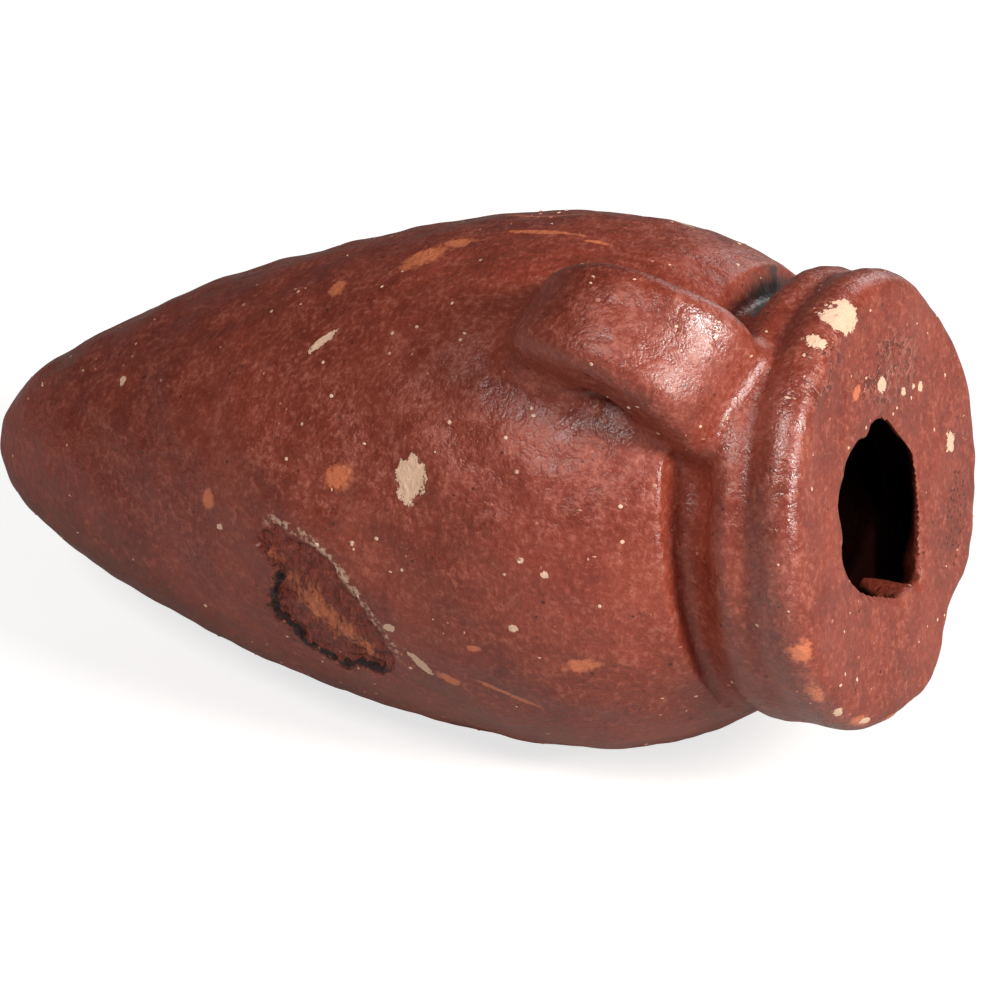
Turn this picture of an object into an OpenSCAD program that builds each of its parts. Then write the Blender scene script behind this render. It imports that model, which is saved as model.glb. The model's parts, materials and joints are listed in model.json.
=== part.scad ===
// Small hand-built clay vessel flute in the shape of a two-handled amphora, lying on its side.
// Every piece is modelled along the potter's axis: +Z runs from the tip to the mouth and +X
// goes out through the near handle. laid() then puts the vessel down as it balances by itself,
// on its belly with the tip lower than the mouth and the far handle just off the surface: +X
// towards the mouth, +Z up, origin on the surface under the middle of its box.

/* [Body] */
// Radius of the belly
belly_r = 21.4; // [20:0.1:23]
// Height of the belly above the tip
belly_z = 54; // [50:0.5:57]
// Radius of the blunt end of the tip
tip_r = 2.4; // [1.5:0.1:4]
// Radius towards which the tip opens before it turns into the side
tip_round = 8; // [6:0.1:10]
// Length of the side behind the belly that keeps its curve
belly_sweep = 21; // [14:0.5:26]
// Height of the shoulder's edge above the tip
shoulder_z = 68.8; // [67:0.1:71]
// Radius of the shoulder's edge
shoulder_r = 17.6; // [17:0.1:19]
// Radius that the shoulder's curve is drawn towards before its edge
shoulder_round = 20; // [19:0.1:21]
// Wall of the half shell under the near handle
near_wall = 3.6; // [2.5:0.1:5]
// Wall of the half shell under the far handle
far_wall = 4; // [2.5:0.1:5]
// Depth of the flat that the belly took where the wet vessel was laid down
rest_flat = 0.3; // [0.2:0.05:0.5]

/* [Scar] */
// Depth of the torn place in the near shell
scar_depth = 0.7; // [0.3:0.1:1.5]
// Width of the torn place
scar_w = 5; // [3:0.5:7]
// Height of its middle above the tip
scar_z = 39.3; // [34:0.5:44]
// Angle of its middle round the vessel from the near handle
scar_turn = 62; // [50:1:66]
// Slant of its length against a ring round the vessel
scar_slant = 36; // [0:1:60]

/* [Neck] */
// Radius of the neck in the groove
neck_r = 14.8; // [13:0.1:16]
// Length of the neck from the shoulder to the back of the mouth disc
neck_len = 7.1; // [6:0.1:9]
// Radius of the bore through the neck
throat_r = 7.2; // [6:0.1:8]
// Outer radius of the rolled collar round the neck
collar_r = 17.6; // [17:0.1:18.5]
// Radius of the roll of clay that makes the collar
collar_roll = 1.9; // [1.4:0.1:2.2]

/* [Mouth disc] */
// Thickness of the disc
disc_t = 4.1; // [3:0.1:5.5]
// Outer radius of the disc where nothing has pressed it
lip_r = 18; // [17:0.1:19]
// Rounding of its rim towards the face
face_round = 0.8; // [0.4:0.1:1.5]
// Rounding of its rim towards the neck
back_round = 1.5; // [0.8:0.1:2]
// Depth of the dent where the far handle was pressed on
dent_depth = 1.8; // [0:0.1:2.5]
// Depth of the flattened stretch of the rim
flat_depth = 0.9; // [0:0.1:1.5]
// Mean radius of the mouth hole
mouth_r = 7.1; // [6:0.1:8]
// Half of the difference between the hole's length and its width
mouth_oval = 0.9; // [0:0.1:1.2]
// How far the edge of the hole wanders
mouth_ragged = 0.55; // [0:0.05:0.7]
// Distance of the hole's middle from the axis
mouth_shift = 2; // [0:0.1:2.5]

/* [Handles] */
// Width of the strap
strap_w = 8.6; // [6:0.1:10]
// Thickness of the strap
strap_t = 5.6; // [4:0.1:6.5]
// Reach of the strap's outer side from the axis
strap_reach = 27.6; // [27:0.1:29]
// Radius of the strap's bend at its middle
strap_bend = 6.2; // [5.5:0.1:7]
// Height of the bend's middle above the tip
strap_z = 64.8; // [63.5:0.1:66]
// Lean of the strap to one side on its way from the body to the neck
strap_lean = 17; // [0:1:25]

/* [Hidden] */
$fn = 96;
curve_steps = 7;    // straight stretches in each curve of the side
rim_steps = 60;     // stations round the mouth disc
round_steps = 4;    // stations in each rounding of its rim
strap_sides = 20;   // sides of the strap's section
squareness = 0.62;  // of the strap's section: 1 is an ellipse, 0 a rectangle
through = 1;        // how far a cut goes past what it cuts

neck_top = shoulder_z + neck_len;
mouth_z = neck_top + disc_t;
crest_z = neck_top + disc_t / 2;

// The pressed places round the rim: their angle from the near handle and their spread.
dent_at = 173;
dent_spread = 15;
flat_at = -93;
flat_spread = 38;
mouth_shift_at = 71;
mouth_oval_at = 0;

// The vessel balances on its belly with the mouth raised by rest_tilt, and is rolled until its
// far handle is handle_clearance off the surface. The tip is tip_height above the flat.
rest_tilt = 9;
handle_clearance = 0.2;
tip_height = max([for (p = side(0)) p[0] * cos(rest_tilt) - p[1] * sin(rest_tilt)]) - rest_flat;
edge_r = strap_t / 2 * squareness;
side_reach = strap_w / 2 - edge_r;
out_reach = strap_reach - edge_r;
under_strap = (tip_height - handle_clearance + strap_z * sin(rest_tilt)) / cos(rest_tilt);
far_from_down =
    atan(side_reach / out_reach)
    + acos((under_strap - edge_r) / norm([out_reach, side_reach]));
near_elevation = 90 - far_from_down;
back_end = min([for (p = side(0)) p[1] * cos(rest_tilt) - p[0] * sin(rest_tilt)]);
front_end = mouth_z * cos(rest_tilt) + (lip_r - face_round) * sin(rest_tilt);
rest_x = (back_end + front_end) / 2;

// A point at t from 0 to 1 along a cubic curve with the four control points p.
function cubic(p, t) =
    (1 - t) ^ 3 * p[0] + 3 * (1 - t) ^ 2 * t * p[1] + 3 * (1 - t) * t ^ 2 * p[2] + t ^ 3 * p[3];

// The vessel's side as [radius, height] points from the tip to the shoulder's edge, drawn in
// from the outside by inset.
function side(inset) =
    let (
        r = belly_r - inset,
        rear = [
            [tip_r * (inset > 0 ? 0.3 : 1), 1.5 * inset],
            [tip_round - inset, 1.5 * inset],
            [r, belly_z - belly_sweep],
            [r, belly_z]
        ],
        front_z = shoulder_z - belly_z,
        front = [
            [r, belly_z],
            [r, belly_z + 0.4 * front_z],
            [shoulder_round - inset, shoulder_z - inset - 0.25 * front_z],
            [shoulder_r - inset, shoulder_z - inset]
        ]
    )
    concat(
        [for (i = [0:2 * curve_steps]) cubic(rear, (i / (2 * curve_steps)) ^ 1.1)],
        [for (i = [1:curve_steps]) cubic(front, i / curve_steps)]
    );

function reversed(p) = [for (i = [len(p) - 1:-1:0]) p[i]];

// A soft bump of height 1 at angle "at", as wide as "spread" on each side.
function bump(a, at, spread) =
    let (off = abs((a - at + 540) % 360 - 180))
    exp(-(off / spread) ^ 2);

function rim_r(a) =
    lip_r - dent_depth * bump(a, dent_at, dent_spread) - flat_depth * bump(a, flat_at, flat_spread);

function hole_r(a) =
    mouth_r + mouth_oval * cos(2 * (a - mouth_oval_at))
    + mouth_ragged * (cos(3 * a - 148) + 0.7 * cos(4 * a + 55) + 0.5 * cos(5 * a - 95));

// Puts the standing vessel down on its side.
module laid() {
    translate([-rest_x, 0, tip_height])
        rotate([0, -rest_tilt, 0])
            rotate([-90 - near_elevation, 0, 0])
                rotate([0, 90, 0])
                    children();
}

// The body as one solid, without its chamber.
module body_solid() {
    rotate_extrude()
        polygon(concat([[0, 0]], side(0), [[0, shoulder_z]]));
}

// One press-moulded half of the body: its wall, turned through half a circle from angle "from".
module half_shell(from, wall) {
    chamber = side(wall);
    top = chamber[len(chamber) - 1][1];
    rotate([0, 0, from])
        rotate_extrude(angle = 180)
            polygon(concat(
                [[0, 0]],
                side(0),
                [[throat_r, shoulder_z], [throat_r, top]],
                reversed(chamber),
                [[0, chamber[0][1]]]
            ));
}

// A spindle with a round waist that dips scar_depth into the body along the torn place.
module scar() {
    waist = (scar_w ^ 2 / 4 + scar_depth ^ 2) / (2 * scar_depth);
    arc = belly_r - near_wall;
    half = sqrt(arc ^ 2 - (arc - waist) ^ 2);
    surface_r = max([for (p = side(0)) if (p[1] <= scar_z + 2) p[0]]);
    rotate([0, 0, scar_turn])
        translate([surface_r + waist - scar_depth, 0, scar_z])
            rotate([scar_slant - 90, 0, 0])
                rotate_extrude()
                    polygon([for (i = [-8:8])
                        let (h = half * i / 8)
                        [sqrt(max(0, arc ^ 2 - h ^ 2)) - arc + waist, h]]);
}

module near_shell() {
    color("#8a4234")
        difference() {
            half_shell(-90, near_wall);
            scar();
        }
}

// What the surface under the resting vessel pressed flat, in the potter's frame.
module underside() {
    rotate([0, 0, 90 + near_elevation])
        rotate([0, rest_tilt, 0])
            translate([tip_height, -belly_r, 0])
                cube([belly_r, 2 * belly_r, mouth_z]);
}

module far_shell() {
    color("#82402f")
        difference() {
            half_shell(90, far_wall);
            underside();
        }
}

// The neck and its rolled collar, without the bore.
module neck_solid(sunk = 0) {
    translate([0, 0, shoulder_z - sunk])
        cylinder(r = neck_r, h = neck_len + sunk);
    translate([0, 0, neck_top - collar_roll])
        rotate_extrude()
            translate([collar_r - collar_roll, 0])
                circle(r = collar_roll, $fn = 32);
}

module neck_ring() {
    color("#a35a4e")
        difference() {
            neck_solid();
            translate([0, 0, shoulder_z - through])
                cylinder(r = throat_r, h = neck_len + 2 * through);
        }
}

// The disc's section at angle a: up its rounded rim, over the face and down the hole.
function disc_section(a) =
    let (
        r = rim_r(a),
        hole = hole_r(a),
        shift = mouth_shift * [cos(mouth_shift_at), sin(mouth_shift_at)],
        rim = concat(
            [for (i = [0:round_steps]) let (t = 90 * i / round_steps)
                [r - back_round * (1 - sin(t)), crest_z - disc_t / 2 * cos(t)]],
            [for (i = [1:round_steps]) let (t = 90 * i / round_steps)
                [r - face_round * (1 - cos(t)), crest_z + disc_t / 2 * sin(t)]]
        ),
        edge = [
            [hole + face_round / 2, mouth_z],
            [hole, mouth_z - face_round],
            [hole, neck_top]
        ]
    )
    concat(
        [for (p = rim) [p[0] * cos(a), p[0] * sin(a), p[1]]],
        [for (p = edge) [p[0] * cos(a) + shift[0], p[0] * sin(a) + shift[1], p[1]]]
    );

module mouth_disc() {
    sections = [for (i = [0:rim_steps - 1]) disc_section(360 * i / rim_steps)];
    n = len(sections[0]);
    at = function(i, j) (i % rim_steps) * n + j % n;
    color("#b0604f")
        polyhedron(
            points = [for (s = sections) each s],
            faces = [for (i = [0:rim_steps - 1], j = [0:n - 1])
                each [
                    [at(i, j), at(i, j + 1), at(i + 1, j)],
                    [at(i + 1, j), at(i, j + 1), at(i + 1, j + 1)]
                ]]
        );
}

// The strap's section: a rectangle with strongly rounded edges.
module strap_section() {
    polygon([for (i = [0:strap_sides - 1])
        let (a = 360 * (i + 0.5) / strap_sides)
        [
            strap_t / 2 * sign(cos(a)) * abs(cos(a)) ^ squareness,
            strap_w / 2 * sign(sin(a)) * abs(sin(a)) ^ squareness
        ]]);
}

// A strap that leaves the body, bends over the shoulder and comes down on the neck, cut to the
// clay that it is pressed on.
module handle(turn) {
    bend_x = strap_reach - strap_t / 2 - strap_bend;
    rotate([0, 0, turn])
        difference() {
            translate([bend_x, 0, strap_z])
                rotate([-strap_lean, 0, 0]) {
                    rotate([90, 0, 0])
                        rotate([0, 0, -90])
                            rotate_extrude(angle = 180)
                                translate([strap_bend, 0])
                                    strap_section();
                    translate([0, 0, strap_bend])
                        rotate([0, -90, 0])
                            linear_extrude(bend_x - throat_r)
                                strap_section();
                }
            body_solid();
            neck_solid(through);
        }
}

module near_handle() {
    color("#9c5245")
        handle(0);
}

module far_handle() {
    color("#7d3e30")
        handle(180);
}

laid() near_shell();
laid() far_shell();
laid() neck_ring();
laid() mouth_disc();
laid() near_handle();
laid() far_handle();
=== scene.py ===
"""A small clay vessel flute shaped like a two-handled amphora, lying on a pale table.

The clay form is worked out once as a distance field in the potter's frame (millimetres, Z from
the tip to the mouth, X out through the near handle), meshed, dented by hand and then cut into
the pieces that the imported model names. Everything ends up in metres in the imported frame.
"""
import json
import math
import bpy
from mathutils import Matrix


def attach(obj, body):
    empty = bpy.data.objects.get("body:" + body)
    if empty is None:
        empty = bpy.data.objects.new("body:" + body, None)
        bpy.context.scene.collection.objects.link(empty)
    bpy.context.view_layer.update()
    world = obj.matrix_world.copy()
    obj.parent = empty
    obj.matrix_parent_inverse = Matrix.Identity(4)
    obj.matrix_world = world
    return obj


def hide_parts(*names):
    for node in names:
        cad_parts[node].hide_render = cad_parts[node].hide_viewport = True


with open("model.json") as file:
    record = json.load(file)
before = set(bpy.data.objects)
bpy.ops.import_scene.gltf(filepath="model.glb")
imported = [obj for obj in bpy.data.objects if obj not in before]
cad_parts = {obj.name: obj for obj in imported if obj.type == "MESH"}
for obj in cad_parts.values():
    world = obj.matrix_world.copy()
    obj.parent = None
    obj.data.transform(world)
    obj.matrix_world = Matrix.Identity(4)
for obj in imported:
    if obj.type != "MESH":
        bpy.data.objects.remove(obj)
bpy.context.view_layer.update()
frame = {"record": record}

from types import SimpleNamespace

import bpy
import numpy as np
import openvdb
from mathutils import Matrix, Vector

bl_info = {
    "name": "Clay vessel flute",
    "version": (1, 0, 0),
    "blender": (4, 5, 0),
    "location": "View3D > Sidebar > Clay flute",
    "description": "Builds a hand-built clay vessel flute and its table-top stage",
    "category": "Add Mesh",
}

MM = 0.001
BODY = "root"


# ---------------------------------------------------------------------------------------------
# Sizes and colours that a user would change
# ---------------------------------------------------------------------------------------------

def length(name, description, mm):
    return bpy.props.FloatProperty(
        name=name, description=description, default=mm * MM, unit="LENGTH", precision=5)


def number(name, description, value, low=0.0, high=10.0):
    return bpy.props.FloatProperty(
        name=name, description=description, default=value, min=low, max=high)


def angle(name, description, degrees):
    return bpy.props.FloatProperty(
        name=name, description=description, default=math.radians(degrees), unit="ROTATION")


def colour(name, description, code):
    return bpy.props.FloatVectorProperty(
        name=name, description=description, default=linear(code), size=4, min=0, max=1,
        subtype="COLOR")


def linear(code):
    """An sRGB hex colour as linear red, green, blue and alpha."""
    channels = [int(code[i:i + 2], 16) / 255 for i in (1, 3, 5)]
    return tuple(c / 12.92 if c <= 0.04045 else ((c + 0.055) / 1.055) ** 2.4
                 for c in channels) + (1.0,)


class VesselSizes(bpy.types.PropertyGroup):
    belly_r: length("Belly radius", "Radius of the belly", 21.4)
    belly_z: length("Belly height", "Height of the belly above the tip", 54)
    tip_r: length("Tip radius", "Radius of the blunt end of the tip", 2.4)
    tip_round: length("Tip opening", "Radius towards which the tip opens", 8)
    belly_sweep: length("Belly sweep", "Length behind the belly that keeps its curve", 21)
    shoulder_z: length("Shoulder height", "Height of the shoulder's edge", 68.8)
    shoulder_r: length("Shoulder radius", "Radius of the shoulder's edge", 17.6)
    shoulder_round: length("Shoulder curve", "Radius the shoulder is drawn towards", 20)
    wall: length("Wall", "Thickness of the clay round the chamber", 3.8)
    neck_r: length("Neck radius", "Radius of the neck in its groove", 14.8)
    neck_len: length("Neck length", "From the shoulder to the back of the mouth disc", 7.1)
    throat_r: length("Throat radius", "Radius of the bore through the neck", 7.2)
    collar_r: length("Collar radius", "Outer radius of the rolled collar", 17.6)
    collar_roll: length("Collar roll", "Radius of the roll that makes the collar", 1.9)
    disc_t: length("Disc thickness", "Thickness of the mouth disc", 4.1)
    lip_r: length("Lip radius", "Outer radius of the mouth disc", 18)
    face_round: length("Face rounding", "Rounding of the rim towards the face", 1.7)
    back_round: length("Back rounding", "Rounding of the rim towards the neck", 1.5)


class StrapSizes(bpy.types.PropertyGroup):
    width: length("Strap width", "Width of each handle's strap", 8.6)
    thick: length("Strap thickness", "Thickness of each handle's strap", 5.6)
    edge: length("Strap edge", "Rounding of the strap's edges", 2.2)
    reach: length("Strap reach", "Reach of the strap from the axis", 27.6)
    bend: length("Strap bend", "Radius of the strap's bend at its middle", 6.2)
    height: length("Strap height", "Height of the bend's middle above the tip", 64.8)
    lean: angle("Strap lean", "Lean of the strap on its way to the neck", 17)
    foot_flare: length("Foot flare", "Smoothing of the strap into the body", 2.6)
    neck_flare: length("Neck flare", "Smoothing of the strap into the neck", 1.4)


class ClayFinish(bpy.types.PropertyGroup):
    voxel: length("Voxel", "Spacing of the points in the clay's mesh", 0.34)
    slip_deep: colour("Deep slip", "Red-brown slip where it lies thick", "#762E20")
    slip: colour("Slip", "Red-brown slip on most of the vessel", "#9A4533")
    slip_thin: colour("Thin slip", "Slip rubbed thin and dusty", "#B66B58")
    bare: colour("Bare clay", "Orange earthenware under the slip", "#D97A53")
    ground: colour("Pale ground", "Cream ground coat where the slip has flaked", "#F0CDB0")
    # Painted shade: a dark grey for the neck's groove, where it lies in deep shade.
    groove_shade: colour("Groove shade", "Painted shade, dark grey, in the neck's groove", "#453B36")
    # Painted shade for crevices, cracks, pits and the inside of the vessel.
    shade: colour("Crevice", "Deep crevices and pits", "#2A1310")
    lumps: length("Lumps", "Height of the fingers' dents in the clay", 0.2)
    crumbs: bpy.props.IntProperty(
        name="Crumbs", description="Crumbs of clay stuck to the slip", default=420, min=0)


class StageLook(bpy.types.PropertyGroup):
    table: colour("Table", "Colour of the pale table", "#F2F1EF")
    key: number("Key light", "Power of the soft light beyond the mouth, in watts", 1.0)
    fill: number("Fill light", "Power of the wide light behind the camera, in watts", 1.0)
    sky: number("Sky", "Strength of the pale surroundings", 0.07)


def sizes(group):
    """A property group's lengths in millimetres and its other values as they are."""
    found = {}
    for key in group.bl_rna.properties.keys():
        prop = group.bl_rna.properties[key]
        if prop.type == "FLOAT" and not prop.is_array:
            value = getattr(group, key)
            found[key] = value / MM if prop.unit == "LENGTH" else value
    return SimpleNamespace(**found)


# ---------------------------------------------------------------------------------------------
# The potter's frame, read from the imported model's mounts
# ---------------------------------------------------------------------------------------------

MOUNTS = {m["name"]: m for m in frame["record"]["mounts"]}
ALONG = Vector(MOUNTS["mouth_face"]["axis"]).normalized()
ACROSS = Vector(MOUNTS["near_handle_eye"]["axis"]).normalized()
OUT = ACROSS.cross(ALONG)
EYES = [Vector(MOUNTS[n]["pos_m"]) for n in ("near_handle_eye", "far_handle_eye")]
ON_AXIS = (EYES[0] + EYES[1]) / 2
MOUTH_Z = 80.0
MOUTH = Vector(MOUNTS["mouth_face"]["pos_m"])
TIP = ON_AXIS + ALONG * ((MOUTH - ON_AXIS).dot(ALONG) - MOUTH_Z * MM)
TURN = np.array([OUT, ACROSS, ALONG])


def to_row(points):
    return np.array(TIP) + MM * np.asarray(points) @ TURN


def to_potter(points):
    return (np.asarray(points) - np.array(TIP)) @ TURN.T / MM


# ---------------------------------------------------------------------------------------------
# Outlines and distances, in millimetres
# ---------------------------------------------------------------------------------------------

# The edge of the mouth hole on the disc's face, read anticlockwise from the near handle.
MOUTH_EDGE = [
    (5.4, -3.9), (3.5, -4.5), (1.2, -4.5), (-1.3, -4.6), (-3.3, -3.4), (-5.1, -1.6),
    (-6.5, 0.3), (-7.6, 1.5), (-8.6, 2.9), (-7.5, 4.3), (-6.0, 5.5), (-3.2, 6.6),
    (-0.6, 7.7), (1.7, 8.3), (3.9, 8.3), (5.4, 7.8), (6.0, 6.4), (7.4, 5.4), (8.2, 4.5),
    (8.5, 2.9), (8.5, 1.3), (7.9, -0.5), (6.5, -1.8), (6.4, -2.8),
]

# Where a torn flap of the lip is left hanging in the hole.
FLAP = (-6.6, 3.4)


def cubic(p, steps):
    p = np.array(p, float)
    t = np.linspace(0, 1, steps)[:, None]
    return ((1 - t) ** 3 * p[0] + 3 * (1 - t) ** 2 * t * p[1]
            + 3 * (1 - t) * t ** 2 * p[2] + t ** 3 * p[3])


def side(v, inset):
    """The vessel's side from the tip to the shoulder as (radius, height), drawn in by inset."""
    r = v.belly_r - inset
    rise = v.shoulder_z - v.belly_z
    rear = [
        (v.tip_r * (0.3 if inset else 1), 1.5 * inset),
        (v.tip_round - inset, 1.5 * inset),
        (r, v.belly_z - v.belly_sweep),
        (r, v.belly_z),
    ]
    front = [
        (r, v.belly_z),
        (r, v.belly_z + 0.4 * rise),
        (v.shoulder_round - inset, v.shoulder_z - inset - 0.25 * rise),
        (v.shoulder_r - inset, v.shoulder_z - inset),
    ]
    return np.concatenate([cubic(rear, 60), cubic(front, 30)[1:]])


def outline_distance(outline, x, y):
    """Distance of each point from a closed outline, negative inside it."""
    x, y = np.broadcast_arrays(x, y)
    nearest = np.full(x.shape, 1e9)
    inside = np.zeros(x.shape, bool)
    for (ax, ay), (bx, by) in zip(outline, np.roll(outline, -1, 0)):
        dx, dy = bx - ax, by - ay
        t = np.clip(((x - ax) * dx + (y - ay) * dy) / (dx * dx + dy * dy + 1e-12), 0, 1)
        nearest = np.minimum(nearest, (x - ax - t * dx) ** 2 + (y - ay - t * dy) ** 2)
        if ay != by:
            inside ^= ((ay > y) != (by > y)) & (x < ax + (y - ay) * dx / dy)
    return np.where(inside, -1.0, 1.0) * np.sqrt(nearest)


def smooth_closed(points, steps):
    """A smooth closed curve through the points."""
    p = np.array(points, float)
    a, b, c = np.roll(p, 1, 0), np.roll(p, -1, 0), np.roll(p, -2, 0)
    out = []
    for t in np.linspace(0, 1, steps, endpoint=False):
        out.append(0.5 * (2 * p + (b - a) * t + (2 * a - 5 * p + 4 * b - c) * t ** 2
                          + (3 * p - a - 3 * b + c) * t ** 3))
    return np.stack(out, 1).reshape(-1, 2)


def melt(a, b, k):
    """The union of two distances with a fillet about k wide."""
    h = np.maximum(k - np.abs(a - b), 0) / k
    return np.minimum(a, b) - h * h * k / 4


def bump_at(a, middle, spread):
    off = np.abs((a - middle + 540) % 360 - 180)
    return np.exp(-(off / spread) ** 2)


def rim_inset(a):
    """How far the rim of the disc is pressed in at angle a, in degrees from the near handle."""
    return (
        1.9 * bump_at(a, 174, 12)
        + 0.9 * bump_at(a, -93, 38)
        - 0.5 * bump_at(a, 150, 9)
        + 0.2 * bump_at(a, 40, 30)
    )


def ripples(points, wavelength, seed, waves=7):
    """A gentle unevenness between about -1 and 1 with the given wavelength."""
    rng = np.random.default_rng(seed)
    total = np.zeros(len(points))
    for _ in range(waves):
        way = rng.normal(size=3)
        way *= 2 * math.pi / (wavelength * rng.uniform(0.7, 1.4) * np.linalg.norm(way))
        total += np.sin(points @ way + rng.uniform(0, 2 * math.pi))
    return total / math.sqrt(waves)


class Field:
    """The grid on which distances are worked out, in the potter's frame."""

    low = (-29.5, -23.0, -1.5)
    high = (29.5, 23.0, 81.8)

    def __init__(self, step):
        self.step = step
        axes = [np.arange(lo, hi, step, dtype=np.float32) for lo, hi in zip(self.low, self.high)]
        self.x, self.y, self.z = (
            axes[0][:, None, None], axes[1][None, :, None], axes[2][None, None, :])
        self.r = np.hypot(self.x, self.y)[:, :, 0]
        self.turn = np.degrees(np.arctan2(self.y, self.x))[:, :, 0]

    def revolve(self, outline, inset=0.0):
        """Distance from a turned outline of (radius, height) points; inset moves it inwards."""
        reach = np.arange(0, 45, self.step / 2)
        table = outline_distance(outline, reach[:, None], self.z[0])
        radius = self.r + inset
        layers = [np.interp(radius, reach, table[:, k]) for k in range(table.shape[1])]
        return np.stack(layers, -1).astype(np.float32)

    def mesh(self, name, distance):
        """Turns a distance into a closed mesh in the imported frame."""
        far = 3 * self.step
        grid = openvdb.FloatGrid(far)
        grid.copyFromArray(np.clip(distance, -far, far).astype(np.float32))
        grid.transform = openvdb.createLinearTransform(self.step)
        points, quads = grid.convertToQuads(0.0)
        mesh = bpy.data.meshes.new(name)
        co = to_row(points + np.array(self.low))
        mesh.from_pydata(co.tolist(), [], quads.tolist())
        mesh.update()
        thing = bpy.data.objects.new(name, mesh)
        bpy.context.collection.objects.link(thing)
        return thing


AXIS_SIDE = -40.0   # outlines of turned solids are closed well past the axis


def turned(points):
    points = np.array(points, float)
    return np.concatenate([
        [(AXIS_SIDE, points[0, 1])], points, [(AXIS_SIDE, points[-1, 1])]])


def disc_outline(v):
    half = v.disc_t / 2
    middle = v.shoulder_z + v.neck_len + half
    t = np.radians(np.linspace(0, 90, 9))
    lower = np.stack([v.lip_r - v.back_round * (1 - np.sin(t)), middle - half * np.cos(t)], 1)
    upper = np.stack([v.lip_r - v.face_round * (1 - np.cos(t)), middle + half * np.sin(t)], 1)
    return turned(np.concatenate([lower, upper[1:]]))


def strap_distance(p, x, y, z):
    """Distance from the strap that leaves the body at +X and comes down on the neck."""
    c, s = math.cos(p.lean), math.sin(p.lean)
    rise = z - p.height
    across = c * y - s * rise
    along = s * y + c * rise
    beyond = x - (p.reach - p.thick / 2 - p.bend)
    depth = np.where(beyond > 0, np.hypot(beyond, along), np.abs(along)) - p.bend
    spread = 0.07 * np.clip(along, -9, 9)
    a = np.abs(depth + 0.6) - (p.thick / 2 + 0.6 - p.edge)
    b = np.abs(across + 0.9 + spread) - (p.width / 2 + 0.35 + spread - p.edge)
    strap = np.hypot(np.maximum(a, 0), np.maximum(b, 0)) + np.minimum(np.maximum(a, b), 0) - p.edge
    return np.maximum(strap, -x)


# ---------------------------------------------------------------------------------------------
# The clay form
# ---------------------------------------------------------------------------------------------

def form_distances(field, v, p):
    """Distances of the whole clay form and of the two handles' shares of it."""
    neck_top = v.shoulder_z + v.neck_len
    body = field.revolve(turned(side(v, 0)))
    full = bump_at(field.turn, 108, 40)
    neck = turned([(v.neck_r, v.shoulder_z - 3), (v.neck_r, neck_top + 1)])
    neck = field.revolve(neck, -1.5 * full)
    middle = neck_top - v.collar_roll - 0.7 * full[:, :, None]
    ring = np.hypot(field.r[:, :, None] - (v.collar_r - v.collar_roll), field.z - middle)
    collar = ring - v.collar_roll
    disc = field.revolve(disc_outline(v), rim_inset(field.turn))
    trunk = melt(melt(body, neck, 1.2), collar, 2.2 + 2.4 * full[:, :, None])
    whole = melt(trunk, disc, 1.6 + 1.6 * full[:, :, None])
    flare = np.clip((field.z - 62) / 6, 0, 1)
    flare = p.foot_flare * (1 - flare) + p.neck_flare * flare
    shares = []
    for way in (1, -1):
        strap = strap_distance(p, way * field.x, way * field.y, field.z).astype(np.float32)
        shares.append(np.maximum(np.maximum(strap - 0.9, -trunk), field.z - neck_top))
        whole = melt(whole, strap, flare)
    edge = smooth_closed(MOUTH_EDGE, 3)
    hole = outline_distance(edge, field.x[:, :, 0] + 0 * field.r, field.y[:, :, 0] + 0 * field.r)
    deep = np.clip(MOUTH_Z - field.z, 0, 9)
    flap = np.exp(-(np.hypot(field.x - FLAP[0], field.y - FLAP[1]) / 2.4) ** 2)
    hole = hole[:, :, None] - 1.7 * (1 - np.exp(-deep / 1.3)) * (1 - 1.5 * flap)
    hole = np.maximum(hole, neck_top - 0.5 - field.z)
    throat = np.maximum(field.r[:, :, None] - v.throat_r, field.z - neck_top)
    chamber = field.revolve(turned(side(v, v.wall)))
    throat = np.maximum(throat, v.shoulder_z - v.wall - 1 - field.z)
    hollow = np.minimum(np.minimum(hole, throat), chamber)
    whole = -melt(-whole, hollow, 0.35)
    floor = -(TIP.z / MM + field.x * OUT.z + field.y * ACROSS.z + field.z * ALONG.z)
    return np.maximum(whole, floor), shares


def main_form(context):
    """The whole vessel as one closed mesh, and the solids that the handles are cut out with."""
    v, p, look = (sizes(getattr(context.scene, n)) for n in ("vessel", "strap", "clay"))
    field = Field(look.voxel)
    whole, shares = form_distances(field, v, p)
    form = field.mesh("form", whole)
    press_fingers(form, look)
    return form, [field.mesh("share", s) for s in shares]


def surface(mesh):
    co = np.empty(len(mesh.vertices) * 3)
    no = np.empty(len(mesh.vertices) * 3)
    mesh.vertices.foreach_get("co", co)
    mesh.vertices.foreach_get("normal", no)
    return co.reshape(-1, 3), no.reshape(-1, 3)


def press_fingers(form, look):
    """Dents, ripples and the torn place, pushed along the clay's own normals."""
    co, no = surface(form.data)
    p = to_potter(co)
    calm = np.where(p[:, 2] > 74, 0.45, 1.0)
    push = 0.8 * ripples(p, 17, 1) + calm * 0.4 * ripples(p, 6, 2) + 0.15 * ripples(p, 2.2, 3)
    push *= look.lumps
    edge = scar_depth(p) + 0.35 * ripples(p, 1.3, 4)
    torn = 0.5 + 0.5 * ripples(p, 1.1, 5)
    push -= np.clip(edge / 0.5, 0, 1) * (0.45 + 0.3 * torn - 0.12 * np.clip(edge, 0, 3))
    push -= crease(p)
    co += MM * push[:, None] * no
    co[:, 2] = np.maximum(co[:, 2], 0)
    form.data.vertices.foreach_set("co", co.ravel())
    form.data.update()


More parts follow.
